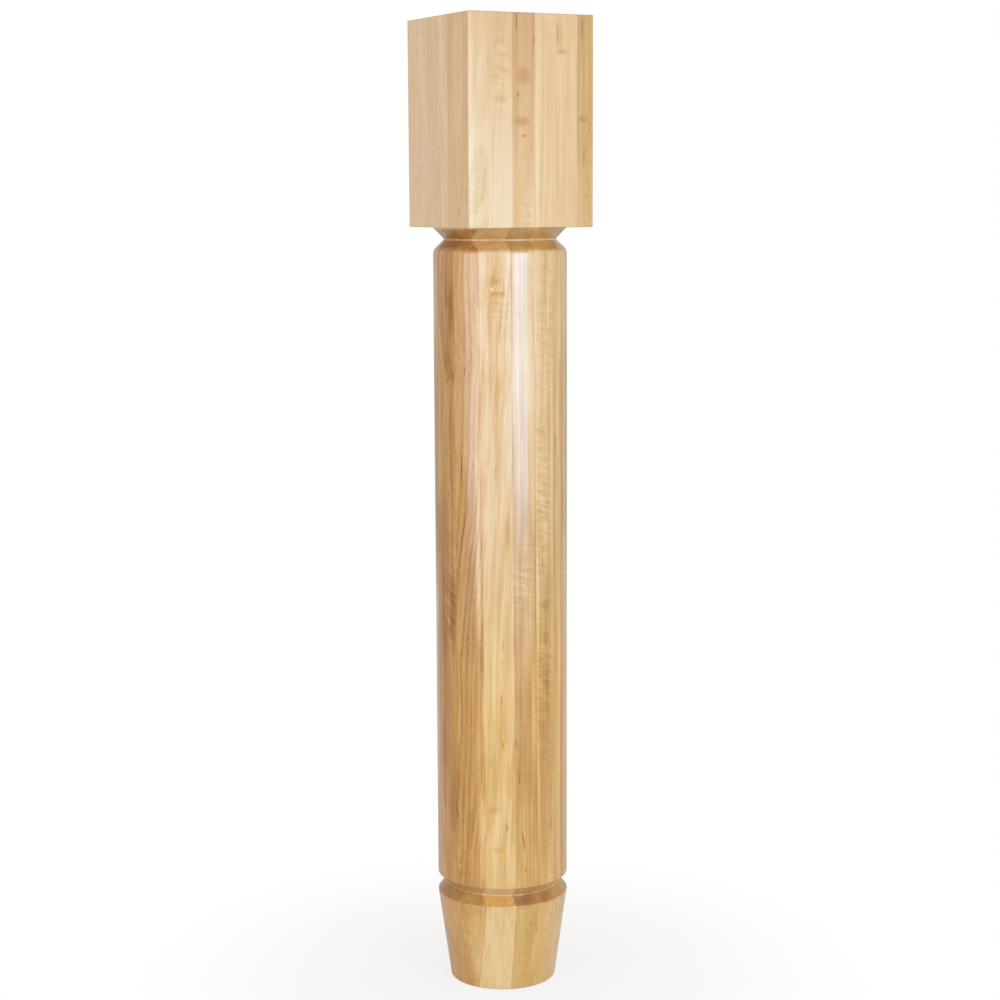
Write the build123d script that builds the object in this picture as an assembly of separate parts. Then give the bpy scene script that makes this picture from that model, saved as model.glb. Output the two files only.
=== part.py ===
from build123d import *
import math
import os

# Kitchen island post, turned in one piece from a square glued-up maple blank.
# Millimetres, +Z up. The origin is the centre of the foot's underside, on the floor.
# The four faces of the square block look along X and Y, and the turned length runs down the Z axis.

# Overall sizes of the post and of its square block
post_height = 914.4
block_width = 127.0
block_height = 190.5
block_edge_radius = 0.8

# Wood turned away on each side, from the face of the blank to the shaft
turning_allowance = 1.0

# V groove under the block, with a softly rounded shoulder below it
neck_groove_depth = 10.5
neck_upper_flank = 11.0
neck_lower_flank = 10.0
neck_root_radius = 2.0
neck_shoulder_radius = 8.5

# V groove above the foot, shallower and with crisper edges
ankle_groove_depth = 7.5
ankle_upper_flank = 8.5
ankle_lower_flank = 9.5
ankle_root_radius = 1.5
shaft_edge_radius = 1.5

# Tapered foot, from its shoulder down to the floor
foot_height = 86.0
foot_base_diameter = 101.0
foot_shoulder_radius = 2.5
foot_base_edge_radius = 1.0

# Marks left at both ends by the pointed lathe centres
centre_mark_diameter = 6.0
centre_mark_angle = 60.0

# Share of the turning allowance that the eased underside edge of the block may take
underside_edge_share = 0.8

# Sizes that follow from those above
shaft_radius = block_width / 2 - turning_allowance
foot_base_radius = foot_base_diameter / 2
underside_height = post_height - block_height
neck_root_height = underside_height - neck_upper_flank
neck_shoulder_height = neck_root_height - neck_lower_flank
ankle_root_height = foot_height + ankle_lower_flank
shaft_end_height = ankle_root_height + ankle_upper_flank
centre_mark_radius = centre_mark_diameter / 2
centre_mark_depth = centre_mark_radius / math.tan(math.radians(centre_mark_angle / 2))
underside_edge_radius = min(block_edge_radius, underside_edge_share * turning_allowance)


def turned_corners():
    """Corners of the half section as (radius, height) with the rounding of each, from the floor up."""
    return [
        ((foot_base_radius, 0.0), foot_base_edge_radius),
        ((shaft_radius, foot_height), foot_shoulder_radius),
        ((shaft_radius - ankle_groove_depth, ankle_root_height), ankle_root_radius),
        ((shaft_radius, shaft_end_height), shaft_edge_radius),
        ((shaft_radius, neck_shoulder_height), neck_shoulder_radius),
        ((shaft_radius - neck_groove_depth, neck_root_height), neck_root_radius),
    ]


def turned_length():
    """Foot, shaft and both V grooves, revolved from one half section up to the block's underside."""
    foot_centre = (0.0, 0.0)
    neck_rim = (shaft_radius, underside_height)
    neck_centre = (0.0, underside_height)
    points = [point for point, rounding in turned_corners()]
    roundings = [rounding for point, rounding in turned_corners()]
    with BuildPart() as turned:
        with BuildSketch(Plane.XZ):
            with BuildLine():
                FilletPolyline(foot_centre, *points, neck_rim, radius=roundings)
                Polyline(neck_rim, neck_centre, foot_centre)
            make_face()
        revolve(axis=Axis.Z)
    return turned.part


def square_block():
    """The part of the blank that stays square, with its edges eased by sanding."""
    with BuildPart() as block:
        with BuildSketch(Plane.XY.offset(underside_height)):
            Rectangle(block_width, block_width)
        extrude(amount=block_height)
        edges = block.edges()
        upright = edges.filter_by(Axis.Z)
        level = edges.filter_by(Axis.Z, reverse=True).group_by(Axis.Z)
        fillet(upright + level[-1], radius=block_edge_radius)
        underside = block.faces().sort_by(Axis.Z)[0]
        fillet(underside.edges(), radius=underside_edge_radius)
    return block.part


def centre_mark():
    """The cone that a lathe centre presses into an end, with its mouth at the origin, pointing up."""
    return Cone(
        bottom_radius=centre_mark_radius,
        top_radius=0.0,
        height=centre_mark_depth,
        align=(Align.CENTER, Align.CENTER, Align.MIN),
    )


def island_post():
    """The whole post: block and turned length in one, with a centre mark in each end."""
    post = square_block() + turned_length()
    foot_mark = centre_mark()
    top_mark = Pos(0.0, 0.0, post_height) * Rot(180.0, 0.0, 0.0) * centre_mark()
    post = post - foot_mark - top_mark
    post.label = "island_post"
    return post


os.makedirs("parts", exist_ok=True)
export_step(island_post(), "parts/island_post.step")
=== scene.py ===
import math

import bmesh
import bpy
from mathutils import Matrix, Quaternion, Vector


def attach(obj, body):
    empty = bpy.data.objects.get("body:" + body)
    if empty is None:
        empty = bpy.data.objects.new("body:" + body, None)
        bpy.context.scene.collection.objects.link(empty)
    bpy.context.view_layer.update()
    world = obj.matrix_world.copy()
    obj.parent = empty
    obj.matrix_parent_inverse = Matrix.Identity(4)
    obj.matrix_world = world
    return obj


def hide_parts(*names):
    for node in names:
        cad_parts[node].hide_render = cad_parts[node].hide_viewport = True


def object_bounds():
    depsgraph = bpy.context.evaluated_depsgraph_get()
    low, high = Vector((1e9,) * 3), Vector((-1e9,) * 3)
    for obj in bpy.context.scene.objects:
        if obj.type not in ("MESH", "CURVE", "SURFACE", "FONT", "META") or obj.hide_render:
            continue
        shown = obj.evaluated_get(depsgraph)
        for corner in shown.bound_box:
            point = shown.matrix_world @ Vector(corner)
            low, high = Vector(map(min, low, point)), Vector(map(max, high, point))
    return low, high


# Looks of a turned kitchen island post: glued-up hard maple under a clear semi-gloss finish.
# Metres, +Z up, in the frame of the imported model. Grain and figure are in millimetres.

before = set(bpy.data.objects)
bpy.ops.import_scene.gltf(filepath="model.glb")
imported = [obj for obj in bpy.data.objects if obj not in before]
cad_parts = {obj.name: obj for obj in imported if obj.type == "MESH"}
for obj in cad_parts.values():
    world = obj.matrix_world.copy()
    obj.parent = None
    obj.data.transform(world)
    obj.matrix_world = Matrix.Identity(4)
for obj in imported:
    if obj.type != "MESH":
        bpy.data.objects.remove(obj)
cad_low, cad_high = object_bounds()
MM = 0.001

# Form of the post
POST_HEIGHT = cad_high.z
HALF_BLOCK = cad_high.x
UNDERSIDE = POST_HEIGHT - 190.5 * MM
EDGE_RADIUS = 0.8 * MM
SHAFT_RADIUS = HALF_BLOCK - 1.0 * MM
NECK_ROOT = UNDERSIDE - 11.0 * MM
NECK_SHOULDER = NECK_ROOT - 10.0 * MM
NECK_DEPTH = 10.5 * MM
FOOT_HEIGHT = 86.0 * MM
ANKLE_ROOT = FOOT_HEIGHT + 9.5 * MM
SHAFT_END = ANKLE_ROOT + 8.5 * MM
ANKLE_DEPTH = 7.5 * MM
FOOT_RADIUS = 50.5 * MM
# The lathe's centres leave a cone in each end, 60 degrees wide
MARK_RADIUS = 3.0 * MM
MARK_DEPTH = MARK_RADIUS / math.tan(math.radians(30.0))

# Corners of the half section from the floor up, as (radius, height, rounding)
CORNERS = (
    (FOOT_RADIUS, 0.0, 1.0 * MM),
    (SHAFT_RADIUS, FOOT_HEIGHT, 1.2 * MM),
    (SHAFT_RADIUS - ANKLE_DEPTH, ANKLE_ROOT, 0.8 * MM),
    (SHAFT_RADIUS, SHAFT_END, 1.5 * MM),
    (SHAFT_RADIUS, NECK_SHOULDER, 8.5 * MM),
    (SHAFT_RADIUS - NECK_DEPTH, NECK_ROOT, 1.6 * MM),
)

# Fineness of the mesh
TURNS = 384
ARC_STEPS = 8
EDGE_STEPS = 4
MARK_TURNS = 48
LONGEST_RING = 12.0 * MM
CUT_TOLERANCE = 1e-7
# Shading: edges over this angle stay sharp, and large faces count most, where 50 is neutral
SHARP_ANGLE = math.radians(35.0)
LARGE_FACE_WEIGHT = 100

# Glue joints between the boards, in mm along X, and between the staves of the outermost board,
# in mm along Y
GLUE_LINES = (-44.2, -19.6, 2.9, 24.8, 46.6)
STAVE_LINES = (-21.5, 28.7)
# The boards lean a little against the turned length, so the joints move to the right going down
BOARD_LEAN = math.radians(0.3)
LEAN_PIVOT = 650.0


def rounded_section():
    """Points of the half section as (radius, height), with each corner turned into an arc."""
    path = [(MARK_RADIUS, 0.0)] + [corner[:2] for corner in CORNERS] + [(SHAFT_RADIUS, UNDERSIDE)]
    points = [Vector(path[0])]
    for before, (radius, height, rounding), after in zip(path, CORNERS, path[2:]):
        here = Vector((radius, height))
        back = (Vector(before) - here).normalized()
        on = (Vector(after) - here).normalized()
        half = back.angle(on) / 2
        centre = here + (back + on).normalized() * rounding / math.sin(half)
        start = here + back * rounding / math.tan(half) - centre
        end = here + on * rounding / math.tan(half) - centre
        for step in range(ARC_STEPS + 1):
            points.append(centre + rounding * start.slerp(end, step / ARC_STEPS))
    points.append(Vector(path[-1]))
    return points


def divided(points):
    """The same points with long straight runs divided, so that no ring is too tall."""
    out = [points[0]]
    for a, b in zip(points, points[1:]):
        count = max(1, math.ceil((b - a).length / LONGEST_RING))
        for step in range(1, count + 1):
            out.append(a.lerp(b, step / count))
    return out


def ring(mesh, radius, height, count=TURNS):
    """A circle of vertices about the Z axis."""
    turn = 2 * math.pi / count
    return [
        mesh.verts.new((radius * math.cos(i * turn), radius * math.sin(i * turn), height))
        for i in range(count)
    ]


def join_rings(mesh, lower, upper):
    """Quads between two circles of as many vertices."""
    for i in range(len(lower)):
        j = (i + 1) % len(lower)
        mesh.faces.new((lower[i], lower[j], upper[j], upper[i]))


def fan(mesh, circle, tip):
    """Triangles from a circle to one vertex."""
    for i in range(len(circle)):
        mesh.faces.new((circle[i], circle[(i + 1) % len(circle)], tip))


def add_turned_length(mesh):
    """Foot, shaft and grooves, from the centre mark up to the block. Returns the top circle."""
    rings = [ring(mesh, p.x, p.y) for p in divided(rounded_section())]
    fan(mesh, rings[0], mesh.verts.new((0.0, 0.0, MARK_DEPTH)))
    for lower, upper in zip(rings, rings[1:]):
        join_rings(mesh, lower, upper)
    return rings[-1]


def closed_edges(mesh, circle):
    """The edges round a circle of vertices, made where they are missing."""
    pairs = zip(circle, circle[1:] + circle[:1])
    return [mesh.edges.get(pair) or mesh.edges.new(pair) for pair in pairs]


def is_block_end(face):
    """Whether a face is the level top or underside of the block."""
    return abs(face.normal.z) > 0.999 and face.calc_area() > HALF_BLOCK**2


def add_block(mesh, neck):
    """The square block with eased edges, open to the neck below and with a centre mark on top."""
    size = (2 * HALF_BLOCK, 2 * HALF_BLOCK, POST_HEIGHT - UNDERSIDE)
    corners = bmesh.ops.create_cube(mesh, size=1.0)["verts"]
    bmesh.ops.scale(mesh, vec=size, verts=corners)
    bmesh.ops.translate(mesh, vec=(0.0, 0.0, (POST_HEIGHT + UNDERSIDE) / 2), verts=corners)
    sharp = dict.fromkeys(edge for corner in corners for edge in corner.link_edges)
    bmesh.ops.bevel(
        mesh, geom=list(sharp), offset=EDGE_RADIUS, segments=EDGE_STEPS, profile=0.5,
        affect="EDGES", clamp_overlap=True,
    )
    ends = [face for face in mesh.faces if is_block_end(face)]
    underside, top = sorted(ends, key=lambda face: face.calc_center_median().z)
    mark = ring(mesh, MARK_RADIUS, POST_HEIGHT, MARK_TURNS)
    openings = {underside: closed_edges(mesh, neck), top: closed_edges(mesh, mark)}
    for face, inner in openings.items():
        rims = list(face.edges) + inner
        bmesh.ops.delete(mesh, geom=[face], context="FACES_ONLY")
        bmesh.ops.triangle_fill(mesh, use_beauty=True, use_dissolve=False, edges=rims)
    fan(mesh, mark, mesh.verts.new((0.0, 0.0, POST_HEIGHT - MARK_DEPTH)))


def cut(mesh, faces, where, normal):
    """Cuts faces along a plane through a place in mm."""
    parts = dict.fromkeys(part for face in faces for part in (face, *face.edges, *face.verts))
    bmesh.ops.bisect_plane(
        mesh, geom=list(parts), dist=CUT_TOLERANCE, plane_co=Vector(where) * MM, plane_no=normal
    )


def in_turned_length(face):
    """Whether a face lies below the block."""
    return face.calc_center_median().z < UNDERSIDE - 0.5 * EDGE_RADIUS


def cut_at_glue_lines(mesh):
    """Cuts the surface where the glue joints come to it, so that each face lies on one board."""
    leaning = (math.cos(BOARD_LEAN), 0.0, math.sin(BOARD_LEAN))
    for x in GLUE_LINES:
        block = [face for face in mesh.faces if not in_turned_length(face)]
        cut(mesh, block, (x, 0.0, 0.0), (1.0, 0.0, 0.0))
        turned = [face for face in mesh.faces if in_turned_length(face)]
        cut(mesh, turned, (x, 0.0, LEAN_PIVOT), leaning)
    for y in STAVE_LINES:
        outermost = [face for face in mesh.faces if board_column(face) == 0]
        cut(mesh, outermost, (0.0, y, 0.0), (0.0, 1.0, 0.0))


def board_column(face):
    """How many glue joints lie to the left of a face."""
    place = face.calc_center_median()
    across = place.x / MM
    if in_turned_length(face):
        across += (place.z / MM - LEAN_PIVOT) * math.tan(BOARD_LEAN)
    return sum(across > x for x in GLUE_LINES)


def board_number(face):
    """Which board a face belongs to. The two staves further back in the outermost come last."""
    column = board_column(face)
    stave = sum(face.calc_center_median().y > y * MM for y in STAVE_LINES)
    return column if column > 0 or stave == 0 else len(GLUE_LINES) + stave


def post_mesh():
    """The whole surface of the post as one closed mesh."""
    mesh = bmesh.new()
    neck = add_turned_length(mesh)
    add_block(mesh, neck)
    bmesh.ops.recalc_face_normals(mesh, faces=mesh.faces[:])
    cut_at_glue_lines(mesh)
    for face in mesh.faces:
        face.material_index = board_number(face)
        face.smooth = True
    data = bpy.data.meshes.new("turned_post")
    mesh.to_mesh(data)
    mesh.free()
    data.set_sharp_from_angle(angle=SHARP_ANGLE)
    return data


class Graph:
    """Short names for the nodes of one material or world."""

    def __init__(self, owner):
        owner.use_nodes = True
        self.tree = owner.node_tree

    def ready(self, name):
        """A node that is there from the start."""
        return self.tree.nodes[name]

    def node(self, kind, **settings):
        """A new node with its settings."""
        made = self.tree.nodes.new(kind)
        for name, value in settings.items():
            setattr(made, name, value)
        return made

    def link(self, source, socket):
        """Links an output to an input."""
        self.tree.links.new(source, socket)

    def feed(self, value, socket):
        """Links a socket, or sets a plain value."""
        if isinstance(value, bpy.types.NodeSocket):
            self.link(value, socket)
        else:
            socket.default_value = value

    def math(self, operation, first, second=None, third=None):
        """A sum with up to three numbers."""
        made = self.node("ShaderNodeMath", operation=operation)
        for socket, value in zip(made.inputs, (first, second, third)):
            if value is not None:
                self.feed(value, socket)
        return made.outputs[0]

    def vector(self, operation, first, second=None):
        """A sum with one or two vectors."""
        made = self.node("ShaderNodeVectorMath", operation=operation)
        self.feed(first, made.inputs[0])
        if second is not None:
            self.feed(second, made.inputs[1])
        return made.outputs["Value" if operation in ("LENGTH", "DISTANCE") else "Vector"]

    def noise(
        self, place, cells, shift, detail=2.0, roughness=0.5, distortion=0.0, output="Fac"
    ):
        """Noise with a number of cells for each mm along X, Y and Z, moved by a shift."""
        placed = self.vector("ADD", self.vector("MULTIPLY", place, cells), shift)
        made = self.node("ShaderNodeTexNoise")
        made.inputs["Scale"].default_value = 1.0
        made.inputs["Detail"].default_value = detail
        made.inputs["Roughness"].default_value = roughness
        made.inputs["Distortion"].default_value = distortion
        self.link(placed, made.inputs["Vector"])
        return made.outputs[output]

    def span(self, value, low, high, to_low=0.0, to_high=1.0, smooth=False):
        """Maps a range to another, clamped."""
        kind = "SMOOTHSTEP" if smooth else "LINEAR"
        made = self.node("ShaderNodeMapRange", clamp=True, interpolation_type=kind)
        made.inputs["From Min"].default_value = low
        made.inputs["From Max"].default_value = high
        made.inputs["To Min"].default_value = to_low
        made.inputs["To Max"].default_value = to_high
        self.feed(value, made.inputs["Value"])
        return made.outputs[0]

    def mix(self, factor, first, second, blend="MIX"):
        """Mixes two colours, which a mix node takes at sockets 6 and 7 and gives at socket 2."""
        made = self.node("ShaderNodeMix", data_type="RGBA", blend_type=blend, clamp_factor=True)
        self.feed(factor, made.inputs["Factor"])
        self.feed(first, made.inputs[6])
        self.feed(second, made.inputs[7])
        return made.outputs[2]

    def total(self, values, start=0.0):
        """The sum of several values."""
        result = start
        for value in values:
            result = self.math("ADD", value, result)
        return result


def colour(red, green, blue):
    """A colour given as it looks, from 0 to 255, as the shader wants it, by the sRGB curve."""
    linear = []
    for level in (red, green, blue):
        share = level / 255
        linear.append(share / 12.92 if share <= 0.04045 else ((share + 0.055) / 1.055) ** 2.4)
    return (*linear, 1.0)


# Tones of maple under a clear finish by depth, from sapwood at 0 to the dark of a gum streak at 1
TONES = (
    (0.00, (237, 213, 178)),
    (0.17, (229, 196, 148)),
    (0.33, (218, 176, 117)),
    (0.50, (202, 153, 89)),
    (0.67, (181, 131, 64)),
    (0.83, (165, 109, 38)),
    (1.00, (126, 80, 18)),
)
# Painted shade: amber multiplied into the lower half, which turns it yellower where less sheen
# falls
SHADE_AMBER = colour(255, 247, 214)

# Depth of tone added in places: on end grain, between and in the growth rings of the two ends,
# near the floor, on the foot, on the upper wall of the ankle groove and at the glue joints. The
# lighter tones near the floor and on the foot are painted light, where the lamps light the lower
# post less, and the one on the groove's downward-facing wall is painted light bounced up from the
# floor
END_GRAIN_DEPTH = 0.28
END_RING_DEPTHS = (-0.06, 0.06)
LOW_PAINTED_LIGHT = -0.05
FOOT_PAINTED_LIGHT = -0.11
CEILING_PAINTED_LIGHT = -0.22
GLUE_LINE_DEPTH = 0.04

# Share of the figure that shows in the block, in the foot and on end grain
BLOCK_FIGURE = 0.5
FOOT_FIGURE = 0.55
END_GRAIN_FIGURE = 0.4

# Heights in mm over which a change is spread: of the boards' tone along the turned length and
# along the block, of the painted light near the floor, from the foot to the shaft, from the neck
# to the block, and of the amber in the lower half, which is painted shade
TURNED_TONE_HEIGHTS = (200.0, 650.0)
BLOCK_TONE_HEIGHTS = (735.0, 905.0)
LOW_HEIGHTS = (130.0, 220.0)
FOOT_TOP_HEIGHTS = (84.0, 88.0)
BLOCK_START_HEIGHTS = (720.0, 724.0)
PAINTED_AMBER_HEIGHTS = (280.0, 420.0)

# Cells of noise for each mm along X, Y and Z
WANDER_CELLS = (0.016, 0.016, 0.008)
FINE_CELLS = (0.85, 0.85, 0.008)
STREAK_CELLS = (0.20, 0.20, 0.004)
PATCH_CELLS = (0.035, 0.035, 0.008)
RING_CELLS = (0.03, 0.03, 0.002)
CURL_CELLS = (0.02, 0.02, 0.004)
RIPPLE_CELLS = (0.07, 0.07, 0.30)
FLECK_CELLS = (0.42, 0.42, 0.05)

# Levels of noise between which each kind of figure goes from one end of its range to the other
FIGURE_LEVELS = (0.3, 0.7)
RIPPLE_LEVELS = (0.25, 0.75)
CURL_LEVELS = (0.45, 0.75)
FLECK_LEVELS = (0.73, 0.82)
# Depth of the ripples where a board has no marked curl
CURL_STRENGTHS = (0.01, 0.09)

# Growth rings: where in a ring its late wood darkens and where it ends, the strength of the
# faintest ring, how many rings the noise moves them by, and the depth of early wood for a depth
# of 1 in late wood
RING_RISE = (0.10, 0.85)
RING_FALL = (0.88, 1.0)
FAINTEST_RING = 0.2
RING_DRIFT = 3.0
EARLY_WOOD = -0.4

# Step from the noise of one board to the next, and how the wander of the grain is moved by it
SEED_STEP = 11.7
WANDER_STEPS = (7.3, 3.1)

# Slope of the ripples in degrees, unless a board has its own
RIPPLE_SLANT = 14.0
# Shares of a spot's half size between which it fades
SPOT_FADE = (0.2, 1.1)
# Distances in mm from a glue joint between which its line fades
GLUE_LINE_FADE = (0.1, 0.5)
# Upward part of the surface's direction where end grain starts and is full, and on the two ends
END_GRAIN_SLOPES = (0.18, 0.72)
END_SLOPES = (0.9, 0.99)


def on_turning(turn, height):
    """A place on the turned surface in mm, turned in degrees from the front face to the right."""
    share = min(1.0, height * MM / FOOT_HEIGHT)
    radius = (FOOT_RADIUS + (SHAFT_RADIUS - FOOT_RADIUS) * share) / MM
    angle = math.radians(turn)
    return radius * math.sin(angle), -radius * math.cos(angle), height


def on_front(across, height):
    """A place on the front face of the block, in mm."""
    return across, -HALF_BLOCK / MM, height


def on_side(across, height):
    """A place on the left face of the block, in mm."""
    return -HALF_BLOCK / MM, across, height


# Marks in the wood, two of them painted highlight: place, half width and half length in mm, added
# depth, and lean in degrees
RIGHT_STAVE_MARKS = (
    (on_front(-61.5, 815), 4.0, 160, -0.14, 0),
    (on_side(-42.0, 860), 16.0, 90, -0.13, 0),
    (on_turning(-47.0, 570), 3.5, 200, -0.10, 0),
    (on_turning(-54.0, 540), 6.0, 170, 0.08, 0),
    (on_turning(-47.5, 395), 4.0, 60, -0.20, 0),
    (on_turning(-47.0, 250), 2.6, 110, -0.14, 0),
    (on_turning(-46.8, 420), 3.0, 110, -0.18, 0),
    (on_turning(-44.0, 142), 5.5, 85, -0.32, 0),
    (on_turning(-43.2, 262), 2.6, 60, -0.22, 0),
    (on_turning(-56.0, 262), 4.0, 45, 0.07, 0),
    (on_turning(-53.0, 38), 11.0, 80, -0.18, 0),
    (on_turning(-43.5, 92), 5.0, 8, -0.12, 0),
    (on_turning(-67.0, 280), 3.0, 120, -0.13, 0),
    (on_turning(-57.0, 455), 2.6, 60, 0.07, 0),
    (on_turning(-47.0, 668), 3.0, 45, 0.10, 0),
    (on_turning(-59.2, 594), 0.9, 6, 0.35, 3),
    (on_turning(-62.7, 504), 0.9, 17, 0.52, 2),
    (on_turning(-60.0, 452), 1.2, 30, 0.25, 11),
    (on_turning(-45.3, 330), 3.0, 24, 0.16, 0),
    (on_turning(-55.0, 160), 5.0, 40, 0.10, 5),
    (on_turning(-62.0, 91), 15.0, 9, -0.13, 0),
    (on_turning(-66.0, 713), 26.0, 18, -0.08, 0),
    (on_side(-44.0, 799), 0.9, 4, 0.40, 8),
    (on_side(-43.0, 740), 1.8, 4, 0.25, 0),
    (on_turning(-71.0, 19), 1.3, 1.6, 0.55, 0),
    (on_turning(-68.5, 11), 1.2, 1.4, 0.50, 0),
)
SECOND_BOARD_MARKS = (
    (on_turning(-25.0, 300), 6.5, 75, -0.09, 0),
    (on_turning(-34.5, 655), 6.5, 95, 0.09, 0),
    (on_turning(-23.0, 560), 3.5, 120, -0.08, 0),
    (on_turning(-38.0, 520), 8.0, 150, -0.07, 0),
    (on_turning(-28.5, 660), 5.5, 60, 0.12, 0),
    (on_turning(-32.0, 676), 9.0, 5, 0.13, 0),
    (on_turning(-34.5, 669), 2.6, 2.6, -0.26, 0),
    (on_turning(-29.0, 665), 10.0, 2.2, 0.17, 0),
    (on_turning(-25.0, 664), 5.0, 6, 0.10, 0),
    (on_turning(-24.6, 672), 1.0, 14, 0.16, 0),
    (on_turning(-27.6, 636), 1.1, 26, 0.15, 7),
    (on_turning(-33.0, 560), 1.2, 45, 0.10, 5),
    (on_turning(-32.5, 500), 1.0, 9, 0.20, 5),
    (on_turning(-21.8, 444), 3.6, 22, 0.16, 0),
    (on_turning(-21.8, 206), 3.6, 24, 0.16, 0),
    (on_turning(-33.8, 181), 9.0, 6, 0.12, 0),
    (on_turning(-31.0, 142), 9.0, 4, 0.13, 0),
    (on_turning(-26.2, 339), 0.7, 6, 0.36, 4),
    (on_turning(-27.1, 323), 0.8, 4, 0.38, 0),
    (on_turning(-27.7, 286), 0.9, 10, 0.36, 0),
    (on_turning(-26.6, 244), 0.9, 6, 0.40, -4),
    (on_turning(-37.0, 227), 0.8, 6, 0.36, 0),
    (on_turning(-23.5, 164), 1.2, 5, 0.34, 6),
    (on_turning(-43.5, 672), 3.0, 40, 0.12, 0),
    (on_turning(-35.5, 460), 4.5, 75, 0.07, 0),
    (on_turning(-32.5, 315), 4.0, 60, -0.13, 0),
    (on_turning(-32.0, 200), 3.4, 36, 0.14, 0),
    (on_turning(-20.0, 128), 6.0, 34, -0.14, 0),
    (on_turning(-20.0, 445), 3.0, 60, 0.09, 0),
    (on_turning(-20.5, 634), 3.0, 40, -0.09, 0),
    (on_front(-32, 889), 10.0, 4, 0.06, 0),
    (on_front(-32, 864), 10.0, 3, 0.09, 0),
    (on_front(-32, 838), 10.0, 4, 0.11, 0),
    (on_front(-49, 757), 1.2, 8, 0.14, 8),
)
THIRD_BOARD_MARKS = (
    # Painted highlight: a paler stripe just left of the joint with the fourth board, in the soft
    # right skirt of the highlight
    (on_turning(-0.5, 640), 5.0, 190, -0.19, 0),
    (on_turning(-10.0, 690), 8.0, 60, -0.10, 0),
    (on_front(-15.4, 907), 0.7, 12, 0.54, 0),
    (on_front(-8, 859), 9.0, 11, 0.16, 0),
    (on_front(-14.0, 843), 1.3, 4, 0.34, 8),
    (on_front(-10, 819), 10.0, 6, 0.18, 0),
    (on_front(-8.0, 806), 3.6, 2.0, 0.25, 0),
    (on_turning(-16.9, 346), 0.9, 14, 0.32, -3),
    (on_turning(-15.3, 246), 0.9, 6, 0.34, 0),
    (on_turning(-12.8, 211), 1.0, 7, 0.28, -5),
    (on_turning(-8.5, 149), 1.1, 11, 0.50, -8),
    (on_turning(-7.0, 122), 0.9, 5, 0.30, 6),
    (on_turning(-8.0, 272), 9.0, 50, 0.10, 0),
    (on_turning(-16.4, 440), 2.5, 60, -0.12, 0),
    (on_turning(-10.0, 575), 7.0, 50, 0.06, 0),
    (on_turning(-8.0, 91), 15.0, 9, 0.20, 0),
    (on_turning(-6.0, 422), 6.0, 40, -0.10, 0),
    (on_turning(0.0, 600), 3.5, 90, -0.04, 0),
    (on_turning(1.0, 270), 3.0, 60, -0.12, 0),
    (on_turning(-1.0, 66), 1.2, 2, 0.28, 0),
    (on_turning(-6.0, 558), 9.0, 36, 0.07, 0),
    (on_turning(0.5, 480), 2.4, 70, -0.12, 0),
    (on_turning(5.0, 38), 4.5, 80, -0.16, 0),
)
FOURTH_BOARD_MARKS = (
    (on_front(6.5, 820), 3.4, 140, -0.08, 0),
    # Painted highlight: a paler stripe just right of the joint with the third board, in the soft
    # right skirt of the highlight
    (on_turning(5.0, 640), 4.0, 190, -0.16, 0),
    (on_turning(6.0, 190), 4.0, 80, -0.09, 0),
    (on_turning(15.5, 340), 5.5, 100, 0.12, 0),
    (on_turning(5.5, 400), 4.5, 80, -0.12, 0),
    (on_turning(16.0, 91), 13.0, 9, 0.24, 0),
    (on_turning(14.0, 719), 13.0, 8, 0.09, 0),
    (on_turning(14.0, 560), 5.0, 110, 0.05, 0),
    (on_turning(14.0, 374), 5.5, 9, 0.12, 0),
    (on_turning(14.0, 342), 5.0, 10, 0.10, 0),
    (on_turning(14.0, 300), 4.5, 12, 0.08, 0),
    (on_turning(20.2, 163), 0.9, 8, 0.30, 0),
    (on_turning(6.5, 60), 0.9, 4, 0.34, 0),
    (on_turning(3.6, 560), 2.6, 190, -0.11, 0),
    (on_turning(4.2, 255), 3.4, 200, -0.18, 0),
    (on_turning(19.5, 408), 3.0, 60, 0.10, 0),
    (on_turning(19.5, 176), 4.5, 62, 0.15, 0),
    (on_turning(4.8, 380), 3.0, 70, -0.10, 0),
    (on_turning(7.0, 690), 7.0, 40, -0.08, 0),
)
FIFTH_BOARD_MARKS = (
    (on_front(26.4, 897), 1.3, 17, 0.26, 0),
    (on_front(29.0, 895), 5.0, 20, 0.12, 0),
    (on_front(31.0, 881.0), 8.0, 3.2, 0.18, 0),
    (on_turning(27.0, 528), 2.2, 9, 0.16, 0),
    (on_turning(26.5, 518), 1.0, 2, 0.30, 0),
    (on_turning(29.5, 440), 3.4, 80, -0.11, 0),
    (on_turning(30.0, 122), 5.0, 32, -0.11, 0),
    (on_turning(38.5, 235), 7.0, 130, 0.20, 0),
)
SIXTH_BOARD_MARKS = (
    (on_front(51.7, 903), 0.8, 15, 0.42, 0),
    (on_front(53.9, 821), 8.0, 4, 0.13, 0),
    (on_front(53.9, 788), 1.0, 11, 0.30, 2),
)
LEFT_STAVE_MARKS = (
    (on_turning(-76.0, 520), 10.0, 90, 0.16, 0),
    (on_turning(-73.6, 646), 6.0, 34, 0.16, 0),
    (on_turning(-73.0, 646), 4.0, 9, 0.11, 0),
    (on_turning(-72.2, 589), 0.8, 6, 0.42, 0),
    (on_turning(-78.8, 478), 0.9, 5, 0.42, 0),
    (on_turning(-73.5, 368), 9.0, 50, 0.32, 0),
    (on_turning(-84.0, 355), 9.0, 60, 0.10, 0),
    (on_turning(-70.9, 178), 0.9, 16, 0.36, 0),
    (on_side(20.3, 816), 0.9, 4, 0.34, 0),
    (on_side(22.9, 792), 1.0, 5, 0.34, -6),
    (on_turning(-76.0, 45), 2.4, 2.4, 0.14, 0),
)
BACK_STAVE_MARKS = (
    (on_side(29.5, 901), 0.9, 5, 0.38, 6),
    (on_side(41.4, 882), 1.1, 6, 0.42, 4),
    (on_side(47.5, 767), 1.4, 9, 0.30, 0),
)

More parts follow.
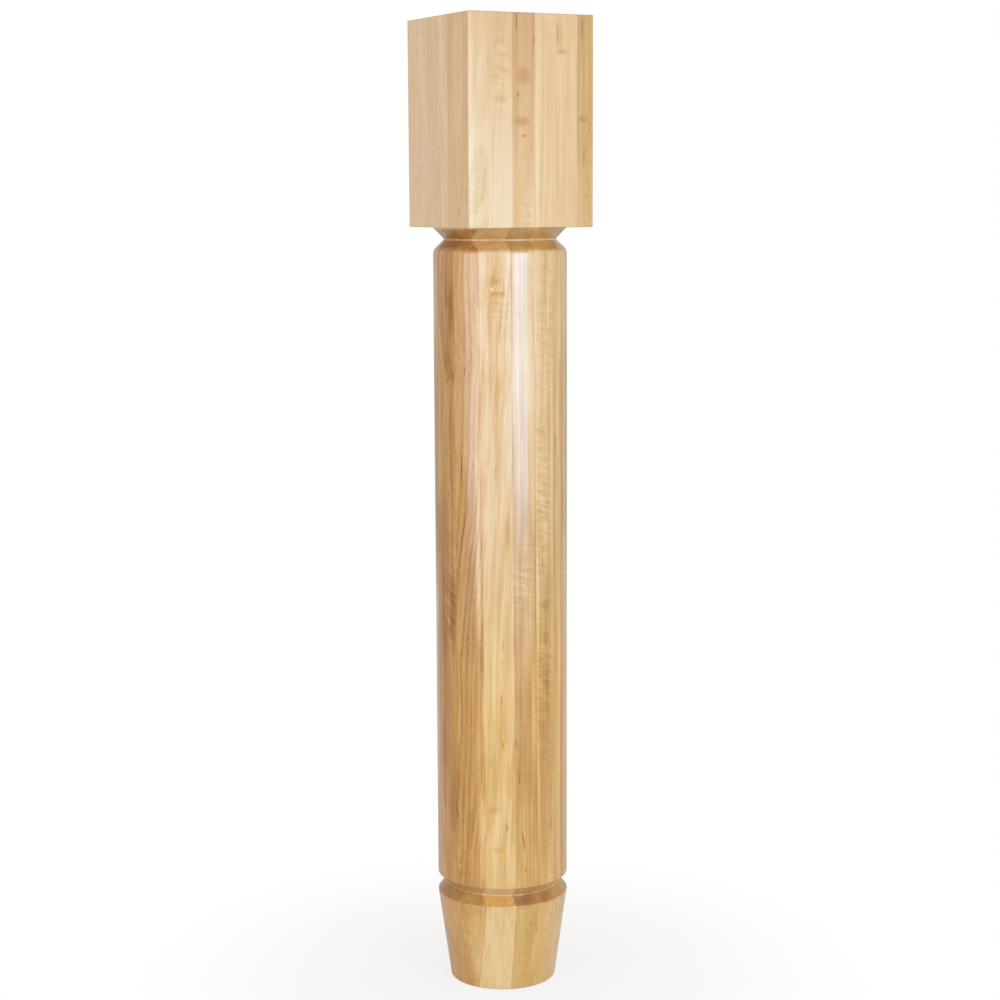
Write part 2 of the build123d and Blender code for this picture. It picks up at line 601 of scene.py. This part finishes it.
# Each board: depth of tone at the top and bottom of the block and of the turned length, centre of
# its growth rings in mm, ring spacing in mm, how far the grain wanders in mm and leans for each mm
# of height, strength of each kind of figure, where it curls, its marks, and the slope of its
# ripples in degrees if it has its own
BOARDS = (
    dict(
        block=(0.29, 0.21), turned=(0.49, 0.56), pith=(-150, 40), spacing=5.5, wander=17, lean=0.10,
        rings=0.16, fine=0.09, streaks=0.09, patches=0.08, flecks=0.4, curls=(),
        marks=RIGHT_STAVE_MARKS,
    ),
    dict(
        block=(0.38, 0.18), turned=(0.19, 0.26), pith=(60, -260), spacing=6.0, wander=11, lean=0.06,
        rings=0.09, fine=0.10, streaks=0.12, patches=0.10, flecks=0.2,
        curls=((on_front(-32, 862), 12, 50, 0.09),),
        marks=SECOND_BOARD_MARKS,
    ),
    dict(
        block=(0.52, 0.33), turned=(0.34, 0.50), pith=(-190, 30), spacing=3.4, wander=6, lean=0.00,
        rings=0.06, fine=0.10, streaks=0.10, patches=0.12, flecks=0.4,
        curls=((on_turning(-6, 400), 16, 60, 0.10),),
        marks=THIRD_BOARD_MARKS,
    ),
    dict(
        block=(0.27, 0.25), turned=(0.24, 0.45), pith=(240, 90), spacing=2.8, wander=5, lean=0.01,
        rings=0.06, fine=0.11, streaks=0.10, patches=0.08, flecks=0.1,
        curls=((on_turning(11, 470), 11, 100, 0.16), (on_turning(12, 310), 11, 90, 0.12)),
        marks=FOURTH_BOARD_MARKS,
    ),
    dict(
        block=(0.30, 0.26), turned=(0.32, 0.41), pith=(-60, 240), spacing=3.6, wander=6, lean=0.00,
        rings=0.10, fine=0.12, streaks=0.12, patches=0.08, flecks=0.2, curls=(),
        marks=FIFTH_BOARD_MARKS,
    ),
    dict(
        block=(0.50, 0.38), turned=(0.44, 0.48), pith=(210, 70), spacing=3.2, wander=7, lean=0.00,
        rings=0.10, fine=0.12, streaks=0.14, patches=0.10, flecks=0.3, curls=(),
        marks=SIXTH_BOARD_MARKS,
    ),
    dict(
        block=(0.13, 0.14), turned=(0.60, 0.63), pith=(-170, -40), spacing=4.6, wander=12,
        lean=0.03, rings=0.10, fine=0.10, streaks=0.14, patches=0.14, flecks=0.5,
        slant=-42.0, curls=((on_turning(-77, 366), 11, 50, 0.20),),
        marks=LEFT_STAVE_MARKS,
    ),
    dict(
        block=(0.14, 0.12), turned=(0.50, 0.50), pith=(-190, 120), spacing=4.2, wander=9, lean=0.00,
        rings=0.10, fine=0.10, streaks=0.12, patches=0.12, flecks=0.4, curls=(),
        marks=BACK_STAVE_MARKS,
    ),
)


def place_in_mm(graph):
    """Place on the post in mm, and its X and Z alone."""
    coordinates = graph.node("ShaderNodeTexCoord").outputs["Object"]
    place = graph.vector("SCALE", coordinates)
    place.node.inputs["Scale"].default_value = 1.0 / MM
    parts = graph.node("ShaderNodeSeparateXYZ")
    graph.link(place, parts.inputs[0])
    return place, parts.outputs["X"], parts.outputs["Z"]


def wandering_grain(graph, board, place, height, seed):
    """The place with the grain's slow wander taken out, so that its figure follows the grain."""
    shift = (*(seed * step for step in WANDER_STEPS), 0.0)
    wander = graph.noise(place, WANDER_CELLS, shift, detail=1.5, output="Color")
    centred = graph.vector("SUBTRACT", wander, (0.5, 0.5, 0.5))
    reach = (board["wander"], board["wander"], 0.0)
    shifted = graph.vector("ADD", place, graph.vector("MULTIPLY", centred, reach))
    leaning = graph.node("ShaderNodeCombineXYZ")
    graph.link(graph.math("MULTIPLY", height, -board["lean"]), leaning.inputs["X"])
    return graph.vector("ADD", shifted, leaning.outputs[0])


def painted_bounce_mask(graph, height):
    """1 on the upper wall of the ankle groove, which faces down, where light bounced up from the
    floor is painted.
    """
    above_root = graph.span(height, ANKLE_ROOT / MM - 0.5, ANKLE_ROOT / MM + 0.5)
    below_shaft = graph.span(height, SHAFT_END / MM - 1.0, SHAFT_END / MM, 1.0, 0.0)
    return graph.math("MULTIPLY", below_shaft, above_root)


def board_tone(graph, board, height, painted_bounce):
    """The board's own depth of tone, which changes along its length, with painted light near the
    floor, on the foot and on the ankle groove's downward-facing wall.
    """
    top, bottom = board["turned"]
    turned = graph.span(height, *TURNED_TONE_HEIGHTS, bottom, top)
    # Painted light: paler near the floor and on the foot, where the lamps light less, and on the
    # groove's downward-facing wall, for light bounced up from the floor
    for heights, depth in ((LOW_HEIGHTS, LOW_PAINTED_LIGHT), (FOOT_TOP_HEIGHTS, FOOT_PAINTED_LIGHT)):
        turned = graph.math("ADD", turned, graph.span(height, *heights, depth, 0.0))
    turned = graph.math("MULTIPLY_ADD", painted_bounce, CEILING_PAINTED_LIGHT, turned)
    top, bottom = board["block"]
    block = graph.span(height, *BLOCK_TONE_HEIGHTS, bottom, top)
    in_block = graph.math("GREATER_THAN", height, UNDERSIDE / MM - 1.5)
    return graph.math("MULTIPLY_ADD", graph.math("SUBTRACT", block, turned), in_block, turned)


def growth_rings(graph, board, grained, seed):
    """Growth rings: 0 in early wood, and up to 1 at the thin dark line of late wood."""
    flat = graph.vector("MULTIPLY", grained, (1.0, 1.0, 0.0))
    radius = graph.vector("DISTANCE", flat, (*board["pith"], 0.0))
    uneven = graph.noise(grained, RING_CELLS, (seed, 0.0, 0.0))
    drift = graph.math("MULTIPLY", uneven, RING_DRIFT)
    count = graph.math("ADD", graph.math("DIVIDE", radius, board["spacing"]), drift)
    phase = graph.math("FRACT", count)
    rise = graph.span(phase, *RING_RISE, smooth=True)
    fall = graph.span(phase, *RING_FALL, 1.0, 0.0, smooth=True)
    strength = graph.node("ShaderNodeTexWhiteNoise", noise_dimensions="1D")
    graph.link(graph.math("ADD", graph.math("FLOOR", count), seed), strength.inputs["W"])
    kept = graph.span(strength.outputs["Value"], 0.0, 1.0, FAINTEST_RING, 1.0)
    return graph.math("MULTIPLY", graph.math("MULTIPLY", rise, fall), kept)


def spot(graph, place, centre, across, along, strength, lean=0.0):
    """A soft long spot of added depth, strongest at its centre, that leans right going up."""
    shape = graph.node("ShaderNodeMapping", vector_type="TEXTURE")
    shape.inputs["Location"].default_value = centre
    shape.inputs["Scale"].default_value = (across, across, along)
    outward = Vector((centre[0], centre[1], 0.0)).normalized()
    turned = Quaternion(outward, -math.radians(lean)).to_euler()
    shape.inputs["Rotation"].default_value = turned
    graph.link(place, shape.inputs["Vector"])
    away = graph.vector("LENGTH", shape.outputs[0])
    return graph.span(away, *SPOT_FADE, strength, 0.0, smooth=True)


def curl(graph, board, place, grained, seed):
    """Ripples across the grain, faint everywhere and clear where the board curls."""
    broad = graph.noise(grained, CURL_CELLS, (seed, 2.0, 0.0), detail=1.0)
    everywhere = graph.span(broad, *CURL_LEVELS, *CURL_STRENGTHS, smooth=True)
    zones = [spot(graph, place, *zone) for zone in board["curls"]]
    sloped = graph.node("ShaderNodeMapping", vector_type="POINT")
    slant = math.radians(board.get("slant", RIPPLE_SLANT))
    sloped.inputs["Rotation"].default_value = (slant, -slant, 0.0)
    graph.link(grained, sloped.inputs["Vector"])
    shift = (seed, 0.0, seed)
    ripple = graph.noise(sloped.outputs[0], RIPPLE_CELLS, shift, detail=1.5, distortion=0.3)
    waves = graph.span(ripple, *RIPPLE_LEVELS, -1.0, 1.0)
    return graph.math("MULTIPLY", waves, graph.total(zones, everywhere))


def flecks(graph, board, grained, seed):
    """Short dark flecks along the grain."""
    dashes = graph.noise(grained, FLECK_CELLS, (seed, seed, 3.0), detail=1.0)
    return graph.span(dashes, *FLECK_LEVELS, 0.0, board["flecks"], smooth=True)


def glue_lines(graph, across, height):
    """A faint darker line at each glue joint."""
    above = graph.math("SUBTRACT", height, LEAN_PIVOT)
    moved = graph.math("MULTIPLY", above, math.tan(BOARD_LEAN))
    below = graph.math("LESS_THAN", height, UNDERSIDE / MM)
    across = graph.math("MULTIPLY_ADD", moved, below, across)
    lines = []
    for x in GLUE_LINES:
        away = graph.math("ABSOLUTE", graph.math("SUBTRACT", across, x))
        lines.append(graph.span(away, *GLUE_LINE_FADE, GLUE_LINE_DEPTH, 0.0))
    return graph.total(lines)


def end_grain(graph, rings):
    """How far the surface is cut across the fibres, and the growth rings on the two ends."""
    parts = graph.node("ShaderNodeSeparateXYZ")
    graph.link(graph.node("ShaderNodeNewGeometry").outputs["Normal"], parts.inputs[0])
    slope = graph.math("ABSOLUTE", parts.outputs["Z"])
    at_end = graph.span(slope, *END_SLOPES)
    end_rings = graph.math("MULTIPLY", at_end, graph.span(rings, 0.0, 1.0, *END_RING_DEPTHS))
    return graph.span(slope, *END_GRAIN_SLOPES, smooth=True), end_rings


def long_figure(graph, board, height, grained, fine, rings, seed):
    """Fine lines, streaks, patches and growth rings, fainter in the block and in the foot."""
    streaks = graph.noise(grained, STREAK_CELLS, (seed, seed, 0.0))
    patches = graph.noise(grained, PATCH_CELLS, (0.0, seed, seed))
    kinds = [
        graph.span(fine, *FIGURE_LEVELS, -board["fine"], board["fine"]),
        graph.span(streaks, *FIGURE_LEVELS, -board["streaks"], board["streaks"]),
        graph.span(patches, *FIGURE_LEVELS, -board["patches"], board["patches"]),
        graph.span(rings, 0.0, 1.0, EARLY_WOOD * board["rings"], board["rings"]),
    ]
    in_block = graph.span(height, *BLOCK_START_HEIGHTS, 1.0, BLOCK_FIGURE)
    in_foot = graph.span(height, *FOOT_TOP_HEIGHTS, FOOT_FIGURE, 1.0)
    return graph.math("MULTIPLY", graph.math("MULTIPLY", graph.total(kinds), in_block), in_foot)


def with_painted_amber(graph, share, wood):
    """The wood with a share of amber multiplied in, painted shade for the sheen that the lower half
    lacks.
    """
    return graph.mix(share, wood, graph.mix(1.0, wood, SHADE_AMBER, "MULTIPLY"))


def tone_colour(graph, depth):
    """The colour of maple at a depth of tone."""
    ramp = graph.node("ShaderNodeValToRGB")
    stops = ramp.color_ramp.elements
    for position, _ in TONES[1:-1]:
        stops.new(position)
    for stop, (position, levels) in zip(stops, TONES):
        stop.position = position
        stop.color = colour(*levels)
    graph.link(depth, ramp.inputs[0])
    return ramp.outputs[0]


def maple(number, board):
    """Clear finished maple with the figure of one board."""
    material = bpy.data.materials.new("maple_%d" % number)
    graph = Graph(material)
    seed = SEED_STEP * (number + 1)
    place, across, height = place_in_mm(graph)
    grained = wandering_grain(graph, board, place, height, seed)
    fine = graph.noise(grained, FINE_CELLS, (0.0, seed, 0.0), detail=2.5, roughness=0.6)
    rings = growth_rings(graph, board, grained, seed)
    figure = long_figure(graph, board, height, grained, fine, rings, seed)
    across_fibres, end_rings = end_grain(graph, rings)
    shown = graph.span(across_fibres, 0.0, 1.0, 1.0, END_GRAIN_FIGURE)
    depths = [
        graph.math("MULTIPLY", figure, shown),
        curl(graph, board, place, grained, seed),
        flecks(graph, board, grained, seed),
        glue_lines(graph, across, height),
        graph.math("MULTIPLY", across_fibres, END_GRAIN_DEPTH),
        end_rings,
        *(spot(graph, place, *mark) for mark in board["marks"]),
    ]
    painted_bounce = painted_bounce_mask(graph, height)
    wood = tone_colour(graph, graph.total(depths, board_tone(graph, board, height, painted_bounce)))
    # Painted shade: yellower towards the bottom, where less sheen falls, and none of it on the
    # groove's downward-facing wall, where floor light is painted
    lower = graph.span(height, *PAINTED_AMBER_HEIGHTS, 1.0, 0.0, smooth=True)
    wood = with_painted_amber(graph, graph.math("SUBTRACT", lower, painted_bounce), wood)
    shader = graph.ready("Principled BSDF")
    graph.link(wood, shader.inputs["Base Color"])
    finish(graph, shader, fine)
    return material


# Clear semi-gloss lacquer
FILM_ROUGHNESSES = (0.27, 0.33)
FILM_IOR = 1.5
COAT_ROUGHNESS = 0.15
BUMP_STRENGTH = 0.15
BUMP_DISTANCE = 0.05 * MM


def finish(graph, shader, fine):
    """Clear semi-gloss lacquer that follows the finest grain a little."""
    roughness = graph.span(fine, *FIGURE_LEVELS, *FILM_ROUGHNESSES)
    graph.link(roughness, shader.inputs["Roughness"])
    shader.inputs["IOR"].default_value = FILM_IOR
    shader.inputs["Coat Weight"].default_value = 1.0
    shader.inputs["Coat Roughness"].default_value = COAT_ROUGHNESS
    bump = graph.node("ShaderNodeBump")
    bump.inputs["Strength"].default_value = BUMP_STRENGTH
    bump.inputs["Distance"].default_value = BUMP_DISTANCE
    graph.link(fine, bump.inputs["Height"])
    graph.link(bump.outputs[0], shader.inputs["Normal"])


def make_post():
    """The post itself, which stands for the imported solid."""
    data = post_mesh()
    for number, board in enumerate(BOARDS):
        data.materials.append(maple(number, board))
    post = bpy.data.objects.new("turned_post", data)
    bpy.context.scene.collection.objects.link(post)
    smooth = post.modifiers.new("smooth", "WEIGHTED_NORMAL")
    smooth.keep_sharp = True
    smooth.weight = LARGE_FACE_WEIGHT
    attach(post, "root")
    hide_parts("island_post")


# Camera, fitted to the photograph's outline
CAMERA_DISTANCE = 1977.3 * MM
CAMERA_HEIGHT = 757.3 * MM
CAMERA_TURN = math.radians(27.33)
CAMERA_PITCH = math.radians(8.36)
CAMERA_ROLL = math.radians(-0.254)
FOCAL_PIXELS = 2104.5
FRAME_PIXELS = 1000.0
# The post's axis is seen this far right of the middle of the frame
AXIS_PIXELS_RIGHT = 1.06
SENSOR = 36.0

# Share of the white background that the finish mirrors
SHEEN_SHARE = 0.1

# Floor, which is pale grey round the foot and fades into white over a range of distances in metres
FLOOR_RADIUS = 9.0
FLOOR_SIDES = 96
FLOOR_GREY = 0.67
FLOOR_ROUGHNESS = 0.9
FLOOR_FADE = (0.06, 0.4)
WHITE_AT_FOOT = 0.80
WHITE = (1.0, 1.0, 1.0, 1.0)


def seen_from_camera(angle, distance, height):
    """A place in a direction from the post, in degrees from the camera's towards the right."""
    heading = CAMERA_TURN - math.radians(angle)
    return Vector((-distance * math.sin(heading), -distance * math.cos(heading), height))


def make_camera():
    """The camera at the photograph's angle."""
    data = bpy.data.cameras.new("photo_camera")
    data.sensor_width = SENSOR
    data.lens = FOCAL_PIXELS / FRAME_PIXELS * SENSOR
    camera = bpy.data.objects.new("photo_camera", data)
    camera.location = seen_from_camera(0.0, CAMERA_DISTANCE, CAMERA_HEIGHT)
    aim = math.atan(AXIS_PIXELS_RIGHT / FOCAL_PIXELS)
    camera.rotation_mode = "XYZ"
    camera.rotation_euler = (math.pi / 2 - CAMERA_PITCH, 0.0, -CAMERA_TURN + aim)
    camera.rotation_euler.rotate_axis("Z", CAMERA_ROLL)
    bpy.context.scene.collection.objects.link(camera)
    bpy.context.scene.camera = camera


def make_softbox(name, angle, distance, heights, width, power, tint, lights=True, mirrored=True):
    """An upright softbox, level with the post. It lights the wood, shows in the finish, or both."""
    low, high = heights
    data = bpy.data.lights.new(name, "AREA")
    data.shape = "RECTANGLE"
    data.size = width
    data.size_y = high - low
    data.energy = power
    data.color = tint
    lamp = bpy.data.objects.new(name, data)
    lamp.visible_diffuse = lights
    lamp.visible_glossy = mirrored
    lamp.location = seen_from_camera(angle, distance, (low + high) / 2)
    towards = Vector((0.0, 0.0, lamp.location.z)) - lamp.location
    lamp.rotation_euler = towards.to_track_quat("-Z", "Y").to_euler()
    bpy.context.scene.collection.objects.link(lamp)


def seen_directly(graph):
    """1 for camera and transmitted rays, which see the white background, and less for sheen."""
    rays = graph.node("ShaderNodeLightPath")
    seen = rays.outputs["Is Camera Ray"]
    for name, share in (("Is Transmission Ray", 1.0), ("Is Glossy Ray", SHEEN_SHARE)):
        seen = graph.math("MAXIMUM", seen, graph.math("MULTIPLY", rays.outputs[name], share))
    return seen


def make_world(ambient):
    """Even light from all sides, with a white background where it is seen."""
    world = bpy.data.worlds.new("studio")
    graph = Graph(world)
    shown = graph.mix(seen_directly(graph), (*ambient, 1.0), WHITE)
    graph.link(shown, graph.ready("Background").inputs["Color"])
    bpy.context.scene.world = world


def floor_material():
    """Pale grey that keeps the shadow near the post, and the white background further out."""
    material = bpy.data.materials.new("studio_floor")
    graph = Graph(material)
    shader = graph.ready("Principled BSDF")
    shader.inputs["Base Color"].default_value = (FLOOR_GREY, FLOOR_GREY, FLOOR_GREY, 1.0)
    shader.inputs["Roughness"].default_value = FLOOR_ROUGHNESS
    shader.inputs["Specular IOR Level"].default_value = 0.0
    place = graph.node("ShaderNodeTexCoord").outputs["Object"]
    away = graph.vector("LENGTH", place)
    white_share = graph.span(away, *FLOOR_FADE, WHITE_AT_FOOT, 1.0, smooth=True)
    white = graph.node("ShaderNodeEmission")
    shown = graph.node("ShaderNodeMixShader")
    graph.link(graph.math("MULTIPLY", white_share, seen_directly(graph)), shown.inputs[0])
    graph.link(shader.outputs[0], shown.inputs[1])
    graph.link(white.outputs[0], shown.inputs[2])
    graph.link(shown.outputs[0], graph.ready("Material Output").inputs["Surface"])
    return material


def make_floor():
    """A plain pale floor that fades into the white background."""
    mesh = bmesh.new()
    bmesh.ops.create_circle(mesh, cap_ends=True, segments=FLOOR_SIDES, radius=FLOOR_RADIUS)
    data = bpy.data.meshes.new("studio_floor")
    mesh.to_mesh(data)
    mesh.free()
    data.materials.append(floor_material())
    floor = bpy.data.objects.new("studio_floor", data)
    bpy.context.scene.collection.objects.link(floor)


make_post()
make_floor()
make_world(ambient=(0.59, 0.53, 0.46))
make_softbox(
    "key_softbox", angle=35.0, distance=1.9, heights=(0.2, 1.75), width=1.0,
    power=26.5, tint=(0.60, 0.78, 1.0), mirrored=False,
)
make_softbox(
    "highlight_softbox", angle=33.9, distance=1.9, heights=(0.15, 1.75), width=0.9,
    power=27.5, tint=(0.33, 0.60, 1.0), lights=False,
)
make_softbox(
    "fill_softbox", angle=-47.0, distance=2.1, heights=(0.1, 1.6), width=1.1,
    power=14.5, tint=(0.93, 0.94, 1.06),
)
make_softbox(
    "side_softbox", angle=105.0, distance=2.0, heights=(0.2, 1.4), width=1.0,
    power=5.3, tint=(1.0, 0.86, 0.72), mirrored=False,
)
make_softbox(
    "back_softbox", angle=190.0, distance=2.2, heights=(0.2, 1.6), width=1.4,
    power=10.0, tint=(1.0, 0.97, 0.94), mirrored=False,
)
make_camera()
bpy.context.scene.view_settings.view_transform = "Standard"
